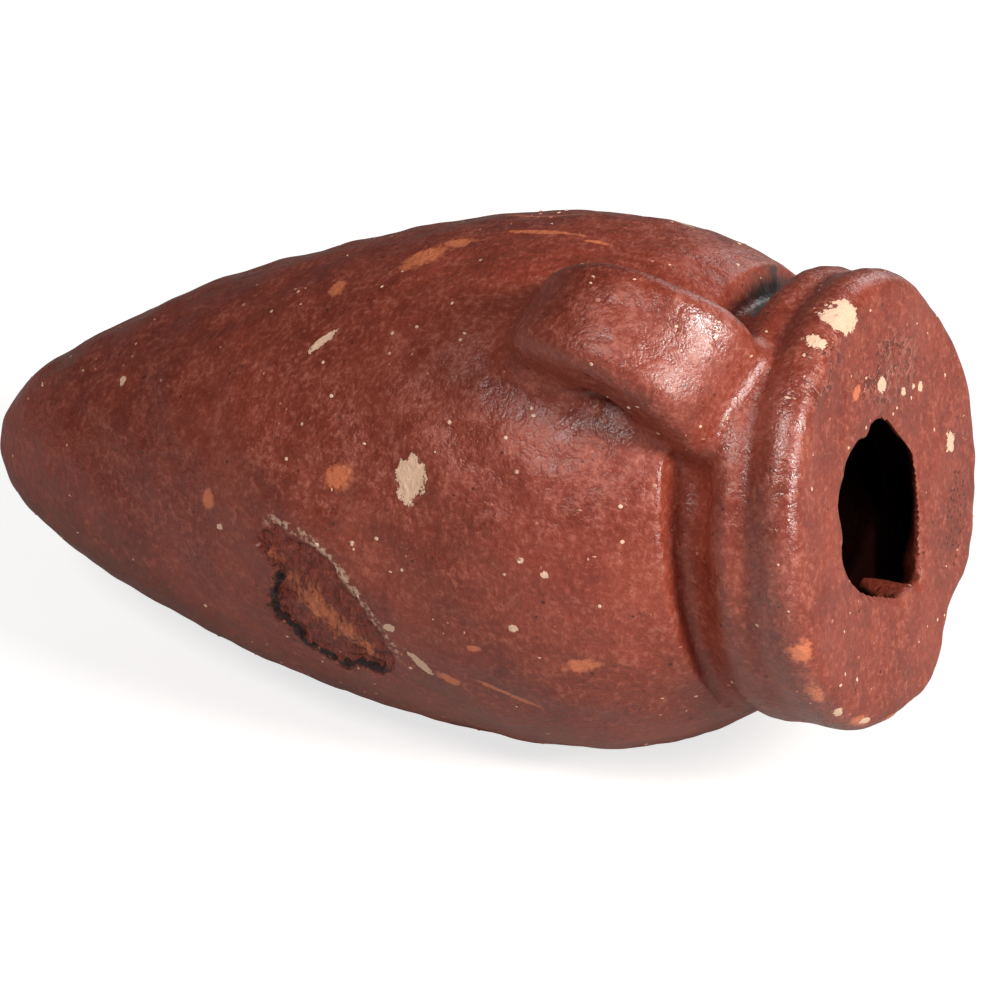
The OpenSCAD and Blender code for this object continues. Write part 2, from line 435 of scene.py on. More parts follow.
# The torn place: its middle (height, angle from the near handle) and its edge round that middle,
# as (height, distance round the vessel) in millimetres.
SCAR_Z, SCAR_TURN = 38.6, 62.5
SCAR_EDGE = [
    (-5.0, -5.6), (-4.4, -4.1), (-3.5, -2.7), (-4.7, -0.7), (-5.5, 1.2), (-4.9, 2.6), (-3.9, 3.4),
    (-3.4, 4.7), (-2.2, 5.4), (-0.8, 6.1), (0.3, 6.7), (2.3, 5.6), (3.8, 6.2), (5.3, 5.6),
    (5.9, 4.0), (5.6, 1.8), (5.0, 0.0), (3.6, -2.6), (2.3, -4.4), (1.1, -5.5), (-0.5, -6.2),
    (-2.9, -6.7),
]


def scar_place(p):
    """Height above the torn place's middle and distance round the vessel from it."""
    turn = np.radians((np.degrees(np.arctan2(p[:, 1], p[:, 0])) - SCAR_TURN + 540) % 360 - 180)
    return p[:, 2] - SCAR_Z, turn * np.hypot(p[:, 0], p[:, 1])


def scar_depth(p):
    """Distance of each point inside the torn place's edge, negative outside it."""
    up, round_way = scar_place(p)
    depth = np.full(len(p), -9.0)
    near = (np.abs(up) < 9) & (np.abs(round_way) < 10) & (np.hypot(p[:, 0], p[:, 1]) > 16)
    depth[near] = -outline_distance(np.array(SCAR_EDGE), up[near], round_way[near])
    return depth


def crease(p):
    """Depth of the shallow crease that a finger left above the torn place."""
    turn = np.degrees(np.arctan2(p[:, 1], p[:, 0]))
    way = (p[:, 2] - 39.0) / 6.3
    off = turn - (39.0 - 9.3 * way)
    over = np.clip(1 - np.abs(way - 0.5) * 1.9, 0, 1)
    return 0.3 * over * np.exp(-(off / 2.4) ** 2) - 0.16 * over * np.exp(-((off - 5) / 3.0) ** 2)


def block(low, high):
    """A box in the potter's frame, as a cutter."""
    corners = [(x, y, z) for x in (low[0], high[0]) for y in (low[1], high[1])
               for z in (low[2], high[2])]
    faces = [(0, 1, 3, 2), (4, 6, 7, 5), (0, 4, 5, 1), (2, 3, 7, 6), (0, 2, 6, 4), (1, 5, 7, 3)]
    mesh = bpy.data.meshes.new("block")
    mesh.from_pydata(to_row(corners).tolist(), [], faces)
    mesh.update()
    thing = bpy.data.objects.new("block", mesh)
    bpy.context.collection.objects.link(thing)
    return thing


def cut(thing, cutter, operation):
    """Keeps or takes away what the cutter holds."""
    step = thing.modifiers.new("cut", "BOOLEAN")
    step.solver = "MANIFOLD"
    step.object = cutter
    step.operation = operation
    bpy.context.view_layer.update()
    found = thing.evaluated_get(bpy.context.evaluated_depsgraph_get())
    mesh = bpy.data.meshes.new_from_object(found)
    thing.modifiers.remove(step)
    old = thing.data
    thing.data = mesh
    bpy.data.meshes.remove(old)


FORM = {}


def clay_form(context):
    if not FORM:
        FORM["form"], FORM["shares"] = main_form(context)
    return FORM


def take_piece(context, name, node, low, high, keep_share=None, drop_shares=()):
    """Cuts one piece out of the clay form and puts it in its CAD node's place."""
    form = clay_form(context)
    piece = form["form"].copy()
    piece.data = form["form"].data.copy()
    piece.name = name
    bpy.context.collection.objects.link(piece)
    if low is not None:
        box = block(low, high)
        cut(piece, box, "INTERSECT")
        bpy.data.objects.remove(box)
    if keep_share is not None:
        cut(piece, form["shares"][keep_share], "INTERSECT")
    for i in drop_shares:
        cut(piece, form["shares"][i], "DIFFERENCE")
    if len(piece.data.polygons) == 0:
        raise RuntimeError(f"{name} came out empty")
    piece.data.shade_smooth()
    piece.data.set_sharp_from_angle(angle=math.radians(50))
    mark(piece)
    piece.data.materials.clear()
    piece.data.materials.append(material("slip_coated_terracotta", slip_coated_terracotta))
    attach(piece, BODY)
    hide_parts(node)
    return piece


# ---------------------------------------------------------------------------------------------
# Where the slip has chipped
# ---------------------------------------------------------------------------------------------

# Chips down to the pale ground on the body: height, angle, half length along the axis, half
# width round the vessel, slant.
BODY_GROUND = [
    (48.7, 28.8, 1.35, 2.0, 12), (38.1, -2.6, 1.5, 0.4, -40), (45.4, 63.7, 0.6, 0.5, 0),
    (47.2, 72.9, 1.5, 0.5, 50), (34.9, 60.4, 0.9, 0.7, -40), (29.5, 45.4, 0.35, 0.35, 0),
    (16.8, 1.6, 0.35, 0.5, 0), (60.7, -61.0, 1.6, 0.4, 20), (58.4, 44.5, 0.35, 0.3, 0),
    (60.2, 47.5, 0.45, 0.3, 30), (56.8, 60.2, 0.4, 0.35, 0), (43.2, 44.0, 0.3, 0.3, 0),
]
# Rubbed places down to the orange clay on the body.
BODY_BARE = [
    (44.2, -26.5, 2.6, 1.5, -35), (46.6, -32.0, 1.6, 0.9, 0), (37.2, -18.8, 1.0, 0.9, 0),
    (28.5, 38.5, 0.7, 1.2, 0), (41.9, 29.6, 1.5, 1.3, -20), (61.5, 70.9, 1.6, 0.8, 0),
    (53.0, -37.5, 4.2, 0.4, 0), (57.9, -35.4, 1.4, 0.3, 0), (49.3, 76.3, 1.5, 0.6, 40),
    (54.0, 80.0, 3.6, 0.35, 35), (53.0, 66.0, 0.8, 0.4, 0), (51.0, -50.0, 6.0, 0.3, 0),
]
# Chips on the mouth disc: distance from the axis, angle, half length outwards, half width round
# the axis, slant.
FACE_GROUND = [
    (16.9, -27.5, 1.3, 1.6, 0), (17.6, -23.0, 0.9, 0.9, 0), (18.0, -14.0, 0.8, 0.7, 0),
    (18.3, -9.0, 0.5, 0.6, 0), (8.4, -68.5, 0.4, 0.5, 0), (18.2, 3.1, 0.4, 0.3, 0),
    (11.3, -129.0, 1.0, 0.9, 0), (17.6, 141.0, 0.4, 1.2, 0), (9.4, -39.0, 0.8, 0.9, 0),
    (17.6, 98.0, 0.25, 0.9, 0), (14.7, 100.3, 0.3, 0.3, 0), (10.4, 59.7, 0.2, 0.3, 0),
    (9.7, -88.0, 0.5, 0.5, 0), (9.2, -81.0, 0.3, 0.4, 0), (17.4, 112.0, 0.25, 0.7, 0),
]
FACE_BARE = [
    (11.2, -17.7, 0.6, 1.1, 0), (17.0, -110.0, 0.5, 2.4, 0), (18.1, 69.0, 1.0, 1.6, 10),
    (17.9, 86.0, 0.4, 2.2, 0), (17.4, 128.0, 0.4, 1.3, 0), (17.5, 110.0, 0.5, 1.6, 0),
]
# Chips on the near strap: reach from the axis, offset to the side, height, half size.
STRAP_GROUND = [(25.6, 4.0, 57.7, 0.9), (22.6, -4.2, 60.6, 0.5), (24.0, -4.0, 60.2, 0.3)]
# Where the slip on the mouth disc flaked and where pinholes crowd: distance from the axis,
# angle, half length outwards, half width round the axis, slant.
FACE_FLAKED = [(10.2, -50.0, 3.8, 7.6, 0), (16.4, -9.0, 2.2, 4.0, 0)]
FACE_PINHOLES = [(12.8, -156.0, 2.4, 3.8, 0), (12.4, -172.0, 2.0, 2.6, 0)]


DISC_FROM = 75.5   # height above which the clay counts as mouth disc, in mm
CHIP_Z = 79.7      # height of the middles of the chips on the disc, in mm


def blots(p, spots, on_face):
    """How deep each point lies in the nearest spot: 1 in its middle, 0 at its edge."""
    depth = np.full(len(p), -3.0)
    heights, radii = side_radius(0)
    for where, turn, half_a, half_b, slant in spots:
        t = math.radians(turn)
        outwards = np.array([math.cos(t), math.sin(t), 0.0])
        round_way = np.array([-math.sin(t), math.cos(t), 0.0])
        if on_face:
            middle, up = outwards * where + np.array([0, 0, CHIP_Z]), outwards
        else:
            reach = np.interp(where, heights, radii)
            middle, up = outwards * reach + np.array([0, 0, where]), np.array([0, 0, 1.0])
        c, s = math.cos(math.radians(slant)), math.sin(math.radians(slant))
        off = p - middle
        a = off @ (c * up + s * round_way) / half_a
        b = off @ (c * round_way - s * up) / half_b
        through = off @ np.cross(up, round_way) / (1.7 if on_face else 6.0)
        depth = np.maximum(depth, 1 - np.sqrt(a * a + b * b + through * through))
    return depth


def strap_blots(p):
    depth = np.full(len(p), -3.0)
    for reach, off, height, half in STRAP_GROUND:
        away = np.linalg.norm(p - np.array([reach, off, height]), axis=1)
        depth = np.maximum(depth, 1 - away / half)
    return depth


def side_radius(inset):
    """Heights and radii of the vessel's side, drawn in by inset."""
    line = side(sizes(bpy.context.scene.vessel), inset)
    return line[:, 1], line[:, 0]


def set_attribute(mesh, name, values):
    found = mesh.attributes.get(name) or mesh.attributes.new(name, "FLOAT", "POINT")
    found.data.foreach_set("value", np.asarray(values, np.float32))


def mark(piece):
    """Writes where the clay is chipped and torn, and where shade is painted into the neck's groove
    and inside the vessel, to the piece's own attributes.
    """
    p = to_potter(surface(piece.data)[0])
    face = p[:, 2] > DISC_FROM
    ground = np.where(face, blots(p, FACE_GROUND, True), blots(p, BODY_GROUND, False))
    ground = np.maximum(ground, strap_blots(p))
    bare = np.where(face, blots(p, FACE_BARE, True), blots(p, BODY_BARE, False))
    up, round_way = scar_place(p)
    turn = np.degrees(np.arctan2(p[:, 1], p[:, 0]))
    # Painted shade: a dark grey patch in the neck's groove on one side, where the groove lies in
    # deep shade.
    groove_shade = bump_at(turn, -58, 22) * np.exp(-((p[:, 2] - 71.0) / 2.4) ** 4)
    set_attribute(piece.data, "ground", ground)
    set_attribute(piece.data, "bare", bare)
    set_attribute(piece.data, "scar", scar_depth(p))
    set_attribute(piece.data, "scar_side", (up - round_way) / math.sqrt(2))
    set_attribute(piece.data, "flaked", np.where(face, blots(p, FACE_FLAKED, True), -3))
    set_attribute(piece.data, "pinholes", np.where(face, blots(p, FACE_PINHOLES, True), -3))
    set_attribute(piece.data, "groove_shade", groove_shade)
    # Painted shade: the walls of the mouth hole, the throat and the chamber are marked as inside,
    # to be painted near black where they lie in shade; at the very tip this also marks a small dot
    # on the outside.
    away = outline_distance(smooth_closed(MOUTH_EDGE, 3), p[:, 0], p[:, 1])
    radius = np.hypot(p[:, 0], p[:, 1])
    wall_in = np.interp(p[:, 2], *side_radius(3.0))
    flap = np.exp(-(np.hypot(p[:, 0] - FLAP[0], p[:, 1] - FLAP[1]) / 2.2) ** 2)
    in_hole = np.clip((MOUTH_Z - 0.25 - 4 * flap - p[:, 2]) / 0.5, 0, 1) * (away < 2.2)
    in_neck = np.maximum(in_hole, (radius < 10.5) * (p[:, 2] < 76))
    inside = np.where(p[:, 2] > 68, in_neck, radius < wall_in)
    set_attribute(piece.data, "inside", inside)
    # Handling has burnished the rim, the collar and the outside of the straps.
    rim = np.clip((79.75 - p[:, 2]) / 0.6, 0, 1) * np.clip(p[:, 2] - 75.2, 0, 1) * (radius > 14)
    collar = np.clip(1 - np.abs(p[:, 2] - 73.6) / 2.4, 0, 1) * (radius > 14)
    polish = 0.62 + 0.6 * rim + 0.4 * collar + 0.15 * np.clip((radius - 22.3) / 1.5, 0, 1)
    set_attribute(piece.data, "polish", polish * (1 - inside))


# ---------------------------------------------------------------------------------------------
# Materials
# ---------------------------------------------------------------------------------------------

def add(tree, kind, settings=None, links=None):
    """Adds a node; settings are its properties or sockets, links go to its input sockets."""
    made = tree.nodes.new(kind)
    for key, value in (settings or {}).items():
        if isinstance(key, str) and hasattr(made, key):
            setattr(made, key, value)
        else:
            made.inputs[key].default_value = value
    for key, source in (links or {}).items():
        tree.links.new(source, made.inputs[key])
    return made


MADE = {}


def material(name, recipe):
    if name not in MADE:
        made = bpy.data.materials.new(name)
        made.use_nodes = True
        made.node_tree.nodes.clear()
        recipe(made.node_tree, bpy.context.scene.clay)
        MADE[name] = made
    return MADE[name]


def blend_colours(tree, factor, low, high):
    """A colour mix; low and high are sockets or linear colours."""
    made = add(tree, "ShaderNodeMix", {"data_type": "RGBA"})
    for socket, value in ((made.inputs[0], factor), (made.inputs[6], low), (made.inputs[7], high)):
        if isinstance(value, bpy.types.NodeSocket):
            tree.links.new(value, socket)
        else:
            socket.default_value = value
    return made.outputs[2]


def ramp(tree, value, low, high, from_to=(0.0, 1.0)):
    """Maps low..high of a value smoothly to from_to."""
    made = add(tree, "ShaderNodeMapRange",
               {"interpolation_type": "SMOOTHSTEP", "From Min": low, "From Max": high,
                "To Min": from_to[0], "To Max": from_to[1]}, {"Value": value})
    return made.outputs[0]


def sum_of(tree, *terms):
    """Adds value * weight for each term."""
    total = None
    for value, weight in terms:
        settings = {"operation": "MULTIPLY_ADD", 1: weight}
        made = add(tree, "ShaderNodeMath", settings, {0: value})
        if total is not None:
            tree.links.new(total, made.inputs[2])
        else:
            made.inputs[2].default_value = 0.0
        total = made.outputs[0]
    return total


def slip_coated_terracotta(tree, look):
    """Low-fired earthenware brushed with red-brown slip over a pale ground: satin, crinkled
    where the slip dried thick, dusty where it is rubbed, cream or orange where it has chipped."""
    coord = add(tree, "ShaderNodeTexCoord").outputs["Object"]
    mm = add(tree, "ShaderNodeMapping", {"Scale": (1 / MM,) * 3}, {"Vector": coord}).outputs[0]

    def noise(size, detail=4.0, rough=0.55, kind="FBM", source=mm, **more):
        settings = {"noise_type": kind, "Scale": 1 / size, "Detail": detail, "Roughness": rough}
        settings.update(more)
        return add(tree, "ShaderNodeTexNoise", settings, {"Vector": source}).outputs[0]

    def attribute(name):
        return add(tree, "ShaderNodeAttribute", {"attribute_name": name}).outputs["Fac"]

    def math_node(kind, a, b):
        made = add(tree, "ShaderNodeMath", {"operation": kind})
        for socket, value in zip(made.inputs, (a, b)):
            if isinstance(value, bpy.types.NodeSocket):
                tree.links.new(value, socket)
            else:
                socket.default_value = value
        return made.outputs[0]

    cloudy, patchy = noise(8, 2), noise(2.4, 4, 0.62)
    fine, grain = noise(0.55, 3, 0.7), noise(0.2, 1, 0.6)
    crinkle = noise(0.9, 3, 0.6, "RIDGED_MULTIFRACTAL", Distortion=0.6)

    # Slip: deeper where it pooled, dusty and pinkish where the brush or a thumb thinned it.
    tone = ramp(tree, sum_of(tree, (cloudy, 0.3), (patchy, 0.3), (fine, 0.4)), 0.33, 0.61)
    base = blend_colours(tree, tone, tuple(look.slip_deep), tuple(look.slip))
    dusty = ramp(tree, sum_of(tree, (fine, 0.7), (patchy, 0.3)), 0.5, 0.66, (0, 0.58))
    base = blend_colours(tree, dusty, base, tuple(look.slip_thin))

    # Short curled marks of the brush's hairs, about 0.1 mm wide: broken contour lines.
    curl = math_node("ABSOLUTE", math_node("SUBTRACT", noise(1.5, 1, 0.5, Distortion=1.5), 0.5), 0)
    curl = ramp(tree, curl, 0.016, 0.004)
    broken = ramp(tree, noise(1.7, 1), 0.52, 0.6)
    curl = math_node("MULTIPLY", curl, broken)
    base = blend_colours(tree, math_node("MULTIPLY", curl, 0.42), base, tuple(look.slip_thin))

    # Dark pits, painted in shade as the holes are, and pale flecks, 0.1 to 0.3 mm wide, in cells
    # about 1.1 mm wide.
    cells = add(tree, "ShaderNodeTexVoronoi", {"Scale": 1 / 1.1}, {"Vector": mm})
    lucky = add(tree, "ShaderNodeSeparateColor", None, {"Color": cells.outputs["Color"]})
    size = sum_of(tree, (lucky.outputs[0], 0.1), (fine, 0.12))
    spot = math_node("LESS_THAN", cells.outputs["Distance"], size)
    pits = math_node("MULTIPLY", spot, math_node("GREATER_THAN", lucky.outputs[1], 0.8))
    flecks = math_node("MULTIPLY", spot, math_node("LESS_THAN", lucky.outputs[1], 0.07))
    holes = add(tree, "ShaderNodeTexVoronoi", {"Scale": 1 / 0.5}, {"Vector": mm})
    crowd = ramp(tree, sum_of(tree, (attribute("pinholes"), 1.0), (patchy, 0.8)), 0.4, 0.6)
    crowd = math_node("MULTIPLY", crowd, ramp(tree, holes.outputs["Distance"], 0.3, 0.2))
    pits = math_node("MAXIMUM", pits, crowd)
    base = blend_colours(tree, math_node("MULTIPLY", pits, 0.7), base, tuple(look.shade))

    # Flaked skin on the mouth disc: islands that stand 0.1 mm proud with pale, broken edges.
    flaky = ramp(tree, sum_of(tree, (attribute("flaked"), 1.0), (patchy, 0.7)), 0.3, 0.75)
    island = noise(1.9, 3, 0.65)
    islands = math_node("MULTIPLY", ramp(tree, island, 0.5, 0.54), flaky)
    rim = math_node("ABSOLUTE", math_node("SUBTRACT", island, 0.52), 0)
    rim = math_node("MULTIPLY", ramp(tree, rim, 0.04, 0.015), flaky)
    base = blend_colours(tree, math_node("MULTIPLY", rim, 0.7), base, tuple(look.slip_thin))
    # Painted shade in the cracks between the islands.
    crack = math_node("ABSOLUTE", math_node("SUBTRACT", island, 0.47), 0)
    crack = math_node("MULTIPLY", ramp(tree, crack, 0.03, 0.015), flaky)
    base = blend_colours(tree, math_node("MULTIPLY", crack, 0.6), base, tuple(look.shade))

    bare = ramp(tree, sum_of(tree, (attribute("bare"), 1.0), (patchy, 1.0), (fine, 1.1)), 1.0, 1.5)
    base = blend_colours(tree, bare, base, tuple(look.bare))
    ragged = noise(0.9, 4, 0.75)
    ground = ramp(tree, sum_of(tree, (attribute("ground"), 1.0), (ragged, 2.0)), 1.02, 1.08)
    ground = math_node("MAXIMUM", ground, flecks)
    pale = blend_colours(tree, fine, tuple(look.ground), tuple(look.bare))
    pale = blend_colours(tree, 0.75, pale, tuple(look.ground))
    base = blend_colours(tree, ground, base, pale)

    # Painted shade: the neck's groove is darkened to dark grey on one side, where it lies in deep
    # shade.
    groove_shade = ramp(tree, sum_of(tree, (attribute("groove_shade"), 1.0), (patchy, 0.9)), 0.8, 1.05)
    base = blend_colours(tree, groove_shade, base, tuple(look.groove_shade))

    # The torn place: fibres of orange clay down its middle, painted shade in the crevices along its
    # lower edge and at its upper end, and a pale ridge along its other edge, partly rubbed and
    # partly a painted highlight.
    depth, side_way = attribute("scar"), attribute("scar_side")
    in_scar = ramp(tree, sum_of(tree, (depth, 1.0), (ragged, 1.4)), 0.6, 0.85)
    drawn = add(tree, "ShaderNodeMapping", {"Rotation": (0.0, 0.75, 0.5), "Scale": (1, 1, 0.3)},
                {"Vector": mm}).outputs[0]
    mat = noise(0.45, 3, 0.7, source=drawn, Distortion=0.8)
    middle = math_node("SUBTRACT", 1.0, math_node("ABSOLUTE", sum_of(tree, (side_way, 0.5)), 0))
    middle = ramp(tree, sum_of(tree, (middle, 0.45), (depth, 0.12), (mat, 1.6)), 1.2, 1.75)
    torn = blend_colours(tree, ramp(tree, mat, 0.35, 0.6), tuple(look.slip_deep), tuple(look.slip))
    torn = blend_colours(tree, middle, torn, tuple(look.bare))
    # Painted shade: a dark line along the lower edge of the torn place, where it lies in shade
    # under the lifted edge.
    lower = ramp(tree, side_way, 0.3, -1.2)
    wander = math_node("SUBTRACT", sum_of(tree, (depth, 1.0), (ragged, 2.6)), 1.55)
    crevice_shade = ramp(tree, math_node("ABSOLUTE", wander, 0), 0.42, 0.2)
    crevice_shade = math_node("MULTIPLY", crevice_shade, lower)
    torn = blend_colours(tree, crevice_shade, torn, tuple(look.shade))
    base = blend_colours(tree, in_scar, base, torn)
    # Painted highlight and real wear: the edge on the other side is painted pale, where it is both
    # rubbed and lit.
    worn_ridge_highlight = math_node("ABSOLUTE", sum_of(tree, (depth, 1.0), (fine, 1.0)), 0)
    worn_ridge_highlight = math_node("MULTIPLY", ramp(tree, worn_ridge_highlight, 0.6, 0.1), ramp(tree, side_way, 1.5, 3.0))
    worn_ridge_highlight = math_node("MULTIPLY", worn_ridge_highlight, ramp(tree, fine, 0.46, 0.56, (0, 0.7)))
    base = blend_colours(tree, worn_ridge_highlight, base, tuple(look.ground))
    fibres = math_node("MULTIPLY", in_scar, mat)

    # Painted shade: the walls inside the mouth, the throat and the chamber are painted near black,
    # as they lie in shade.
    painted_inner_shade = tuple(0.3 * c for c in look.shade[:3]) + (1.0,)
    inside = attribute("inside")
    base = blend_colours(tree, inside, base, painted_inner_shade)

    height = sum_of(tree, (crinkle, 0.085), (patchy, 0.15), (fine, 0.11), (grain, 0.03),
                    (ground, -0.09), (bare, -0.03), (pits, -0.15),
                    (islands, 0.09), (fibres, 0.4), (crevice_shade, -0.3))
    bump = add(tree, "ShaderNodeBump", {"Strength": 0.9, "Distance": MM}, {"Height": height})
    rough = ramp(tree, sum_of(tree, (patchy, 0.5), (fine, 0.5)), 0.38, 0.64, (0.36, 0.57))
    rough = math_node("MAXIMUM", rough, math_node("MAXIMUM", ground, inside))
    polish = attribute("polish")
    rough = sum_of(tree, (rough, 1.0), (polish, -0.1))
    shader = add(tree, "ShaderNodeBsdfPrincipled", {"IOR": 1.5},
                 {"Base Color": base, "Roughness": rough, "Normal": bump.outputs[0],
                  "Specular IOR Level": polish})
    add(tree, "ShaderNodeOutputMaterial", None, {"Surface": shader.outputs[0]})


def clay_crumbs(tree, look):
    """Crumbs of dry clay and ground caught in the slip: matt and pale."""
    coord = add(tree, "ShaderNodeTexCoord").outputs["Object"]
    cells = add(tree, "ShaderNodeTexNoise", {"Scale": 300.0}, {"Vector": coord}).outputs[0]
    pale = ramp(tree, cells, 0.4, 0.6)
    base = blend_colours(tree, pale, tuple(look.slip_thin), tuple(look.ground))
    shader = add(tree, "ShaderNodeBsdfPrincipled", {"Roughness": 0.8}, {"Base Color": base})
    add(tree, "ShaderNodeOutputMaterial", None, {"Surface": shader.outputs[0]})


def pale_table(tree, look):
    """A matt white table top that a camera sees as white, with the vessel's soft shadow."""
    table = bpy.context.scene.stage_look.table
    ray = add(tree, "ShaderNodeLightPath").outputs["Is Camera Ray"]
    dull = tuple(0.55 * c for c in table[:3]) + (1.0,)
    matt = add(tree, "ShaderNodeBsdfDiffuse", {"Color": dull})
    glow = add(tree, "ShaderNodeEmission", {"Color": (1, 1, 1, 1)},
               {"Strength": sum_of(tree, (ray, 0.74))})
    both = add(tree, "ShaderNodeAddShader", None, {0: matt.outputs[0], 1: glow.outputs[0]})
    add(tree, "ShaderNodeOutputMaterial", None, {"Surface": both.outputs[0]})


# ---------------------------------------------------------------------------------------------
# Operators
# ---------------------------------------------------------------------------------------------

WIDE = 45.0             # past the vessel on every side, in mm
OUTSIDE_AREA = 0.0105   # of the clay, in square metres


class CLAY_OT_shells(bpy.types.Operator):
    """Makes the two press-moulded halves of the body"""

    bl_idname = "clay.shells"
    bl_label = "Half shells"

    def execute(self, context):
        top = sizes(context.scene.vessel).shoulder_z
        take_piece(context, "near_half_shell", "near_shell",
                   (0, -WIDE, -WIDE), (WIDE, WIDE, top), drop_shares=(0,))
        take_piece(context, "far_half_shell", "far_shell",
                   (-WIDE, -WIDE, -WIDE), (0, WIDE, top), drop_shares=(1,))
        return {"FINISHED"}


class CLAY_OT_neck(bpy.types.Operator):
    """Makes the neck with its rolled collar"""

    bl_idname = "clay.neck"
    bl_label = "Neck and collar"

    def execute(self, context):
        v = sizes(context.scene.vessel)
        take_piece(context, "neck_and_collar", "neck_ring", (-WIDE, -WIDE, v.shoulder_z),
                   (WIDE, WIDE, v.shoulder_z + v.neck_len), drop_shares=(0, 1))
        return {"FINISHED"}


class CLAY_OT_mouth(bpy.types.Operator):
    """Makes the mouth disc with its pressed rim and ragged hole"""

    bl_idname = "clay.mouth"
    bl_label = "Mouth disc"

    def execute(self, context):
        v = sizes(context.scene.vessel)
        take_piece(context, "flat_mouth_disc", "mouth_disc",
                   (-WIDE, -WIDE, v.shoulder_z + v.neck_len), (WIDE, WIDE, 2 * WIDE + v.lip_r))
        return {"FINISHED"}


class CLAY_OT_straps(bpy.types.Operator):
    """Makes the two strap handles"""

    bl_idname = "clay.straps"
    bl_label = "Strap handles"

    def execute(self, context):
        take_piece(context, "near_strap", "near_handle", None, None, keep_share=0)
        take_piece(context, "far_strap", "far_handle", None, None, keep_share=1)
        return {"FINISHED"}


class CLAY_OT_crumbs(bpy.types.Operator):
    """Scatters crumbs of clay over the outside"""

    bl_idname = "clay.crumbs"
    bl_label = "Crumbs"

    def execute(self, context):
        look = context.scene.clay
        form = FORM.pop("form")
        for share in FORM.pop("shares"):
            bpy.data.objects.remove(share)
        mark(form)
        form.name = "slip_crumbs"
        step = form.modifiers.new("crumbs", "NODES")
        step.node_group = crumb_nodes()
        values = {"Crumbs per square metre": look.crumbs / OUTSIDE_AREA,
                  "Size": 0.17 * MM, "Seed": 4}
        for item in step.node_group.interface.items_tree:
            if item.name in values:
                step[item.identifier] = values[item.name]
        context.view_layer.update()
        found = form.evaluated_get(context.evaluated_depsgraph_get())
        mesh = bpy.data.meshes.new_from_object(found)
        form.modifiers.clear()
        form.data = mesh
        if not mesh.polygons:
            raise RuntimeError("no crumbs were scattered")
        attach(form, BODY)
        return {"FINISHED"}


def crumb_nodes():
    """Scatters flattened crumbs over the outside of the mesh that it is given."""
    tree = bpy.data.node_groups.new("Crumbs", "GeometryNodeTree")
    new = tree.interface.new_socket
    new("Clay", in_out="INPUT", socket_type="NodeSocketGeometry")
    new("Crumbs per square metre", in_out="INPUT", socket_type="NodeSocketFloat")
    new("Size", in_out="INPUT", socket_type="NodeSocketFloat")
    new("Seed", in_out="INPUT", socket_type="NodeSocketInt")
    new("Crumbs", in_out="OUTPUT", socket_type="NodeSocketGeometry")
    given = add(tree, "NodeGroupInput")
    inside = add(tree, "GeometryNodeInputNamedAttribute", {"data_type": "FLOAT", "Name": "inside"})
    outside = add(tree, "FunctionNodeCompare", {"data_type": "FLOAT", "operation": "LESS_THAN",
                                                "B": 0.01}, {"A": inside.outputs[0]})
    points = add(tree, "GeometryNodeDistributePointsOnFaces", None, {
        "Mesh": given.outputs["Clay"], "Selection": outside.outputs[0],
        "Density": given.outputs["Crumbs per square metre"], "Seed": given.outputs["Seed"]})
    crumb = add(tree, "GeometryNodeMeshIcoSphere", {"Subdivisions": 2},
                {"Radius": given.outputs["Size"]})
    spread = add(tree, "FunctionNodeRandomValue",
                 {"data_type": "FLOAT_VECTOR", 0: (0.35, 0.35, 0.2), 1: (1.3, 1.0, 0.5)},
                 {"Seed": given.outputs["Seed"]})
    placed = add(tree, "GeometryNodeInstanceOnPoints", None, {
        "Points": points.outputs["Points"], "Instance": crumb.outputs[0],
        "Rotation": points.outputs["Rotation"], "Scale": spread.outputs[0]})
    real = add(tree, "GeometryNodeRealizeInstances", None, {"Geometry": placed.outputs[0]})
    paint = add(tree, "GeometryNodeSetMaterial",
                {"Material": material("clay_crumbs", clay_crumbs)}, {"Geometry": real.outputs[0]})
    add(tree, "NodeGroupOutput", None, {"Crumbs": paint.outputs[0]})
    return tree


class CLAY_OT_stage(bpy.types.Operator):
    """Makes the table, the lights and the camera"""

    bl_idname = "clay.stage"
    bl_label = "Stage"

    def execute(self, context):
        make_table()
        make_lights(context.scene.stage_look)
        make_camera()
        context.scene.view_settings.view_transform = "Standard"
        return {"FINISHED"}


# The camera looks at the vessel from in front of the near handle, a little from the mouth's side.
VIEW_TURN = 26.0       # from the near handle towards the top, round the axis, in degrees
VIEW_LEAN = 27.65      # from square-on towards the mouth, in degrees
VIEW_ROLL = -3.85      # of the picture, in degrees
VIEW_FAR = 500.0       # from the point looked at, in mm
VIEW_AT_Z = 45.0       # height on the axis of the point looked at, in mm
VIEW_OFF = (0.506, -2.232)   # that point's place beside the picture's middle, in mm
LENS = 223.96          # in mm on a 36 mm sensor


def view_axes():
    """Right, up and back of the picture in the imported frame."""
    t = math.radians(VIEW_TURN)
    facing = OUT * math.cos(t) + ACROSS * math.sin(t)
    lean = math.radians(VIEW_LEAN)
    back = facing * math.cos(lean) + ALONG * math.sin(lean)
    right = ALONG * math.cos(lean) - facing * math.sin(lean)
    up = back.cross(right)
    roll = math.radians(VIEW_ROLL)
    return (right * math.cos(roll) - up * math.sin(roll),
            right * math.sin(roll) + up * math.cos(roll), back)


def make_camera():
    right, up, back = view_axes()
    at = TIP + ALONG * VIEW_AT_Z * MM
    place = at + MM * (VIEW_OFF[0] * right + VIEW_OFF[1] * up + VIEW_FAR * back)
    data = bpy.data.cameras.new("camera")
    data.lens = LENS
    data.sensor_width = 36
    data.clip_start = 0.01
    camera = bpy.data.objects.new("camera", data)
    bpy.context.collection.objects.link(camera)
    turn = Matrix((right, up, back)).transposed().to_4x4()
    camera.matrix_world = Matrix.Translation(place) @ turn
    bpy.context.scene.camera = camera


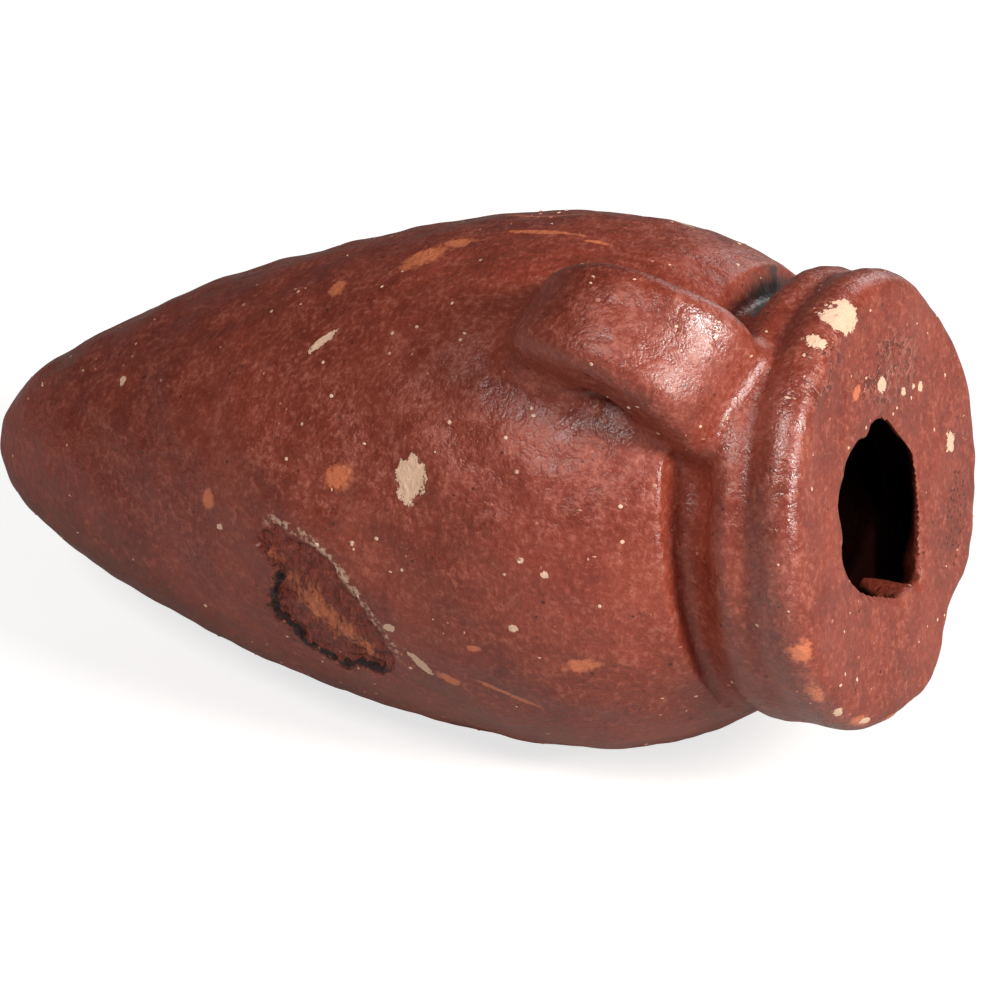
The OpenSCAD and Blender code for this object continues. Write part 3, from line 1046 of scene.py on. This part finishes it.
def lamp(name, aim, way, far, size, power, tint=(1, 1, 1)):
    """An area lamp that shines on aim from the direction way."""
    data = bpy.data.lights.new(name, "AREA")
    data.shape = "DISK"
    data.size = size
    data.energy = power
    data.color = tint
    thing = bpy.data.objects.new(name, data)
    bpy.context.collection.objects.link(thing)
    turn = (-way).to_track_quat("-Z", "Y").to_matrix().to_4x4()
    thing.matrix_world = Matrix.Translation(aim + way.normalized() * far) @ turn


def make_lights(look):
    back = view_axes()[2]
    aim = TIP + ALONG * VIEW_AT_Z * MM
    facing = (back - ALONG * back.dot(ALONG)).normalized()
    over = facing.cross(ALONG)
    lamp("key", aim, ALONG * 0.93 + facing * 0.31 + over * 0.2, 0.6, 0.17, 3.9 * look.key,
         (1, 0.965, 0.92))
    lamp("fill", aim, facing * 0.9 + over * 0.34, 0.7, 0.2, 1.95 * look.fill, (1, 0.96, 0.93))
    lamp("behind", aim, facing * -0.8 + Vector((0, 0, 0.6)), 0.7, 0.3, 0.7 * look.fill)
    world = bpy.data.worlds.new("surroundings")
    world.use_nodes = True
    tree = world.node_tree
    tree.nodes.clear()
    path = add(tree, "ShaderNodeLightPath")
    dim = add(tree, "ShaderNodeBackground", {"Color": (1, 1, 1, 1), "Strength": look.sky})
    white = add(tree, "ShaderNodeBackground", {"Color": (1, 1, 1, 1), "Strength": 1.0})
    mix = add(tree, "ShaderNodeMixShader", None,
              {0: path.outputs["Is Camera Ray"], 1: dim.outputs[0], 2: white.outputs[0]})
    add(tree, "ShaderNodeOutputWorld", None, {"Surface": mix.outputs[0]})
    bpy.context.scene.world = world


def make_table():
    mesh = bpy.data.meshes.new("table_top")
    far = 3.0
    corners = [(-far, -far, 0), (far, -far, 0), (far, far, 0), (-far, far, 0)]
    mesh.from_pydata(corners, [], [(0, 1, 2, 3)])
    mesh.update()
    mesh.materials.append(material("pale_table", pale_table))
    table = bpy.data.objects.new("table_top", mesh)
    bpy.context.collection.objects.link(table)


class CLAY_PT_panel(bpy.types.Panel):
    bl_label = "Clay vessel flute"
    bl_space_type = "VIEW_3D"
    bl_region_type = "UI"
    bl_category = "Clay flute"

    def draw(self, context):
        for kind in STEPS:
            self.layout.operator(kind.bl_idname)
        for group in GROUPS:
            box = self.layout.box()
            held = getattr(context.scene, group)
            for key in GROUPS[group].__annotations__:
                box.prop(held, key)


STEPS = (CLAY_OT_shells, CLAY_OT_neck, CLAY_OT_mouth, CLAY_OT_straps, CLAY_OT_crumbs, CLAY_OT_stage)
GROUPS = {"vessel": VesselSizes, "strap": StrapSizes, "clay": ClayFinish, "stage_look": StageLook}


def register():
    for kind in (*GROUPS.values(), *STEPS, CLAY_PT_panel):
        bpy.utils.register_class(kind)
    for name, kind in GROUPS.items():
        setattr(bpy.types.Scene, name, bpy.props.PointerProperty(type=kind))


def unregister():
    for name in GROUPS:
        delattr(bpy.types.Scene, name)
    for kind in reversed((*GROUPS.values(), *STEPS, CLAY_PT_panel)):
        bpy.utils.unregister_class(kind)


def main():
    register()
    bpy.ops.clay.shells()
    bpy.ops.clay.neck()
    bpy.ops.clay.mouth()
    bpy.ops.clay.straps()
    bpy.ops.clay.crumbs()
    bpy.ops.clay.stage()


if __name__ == "__main__":
    main()
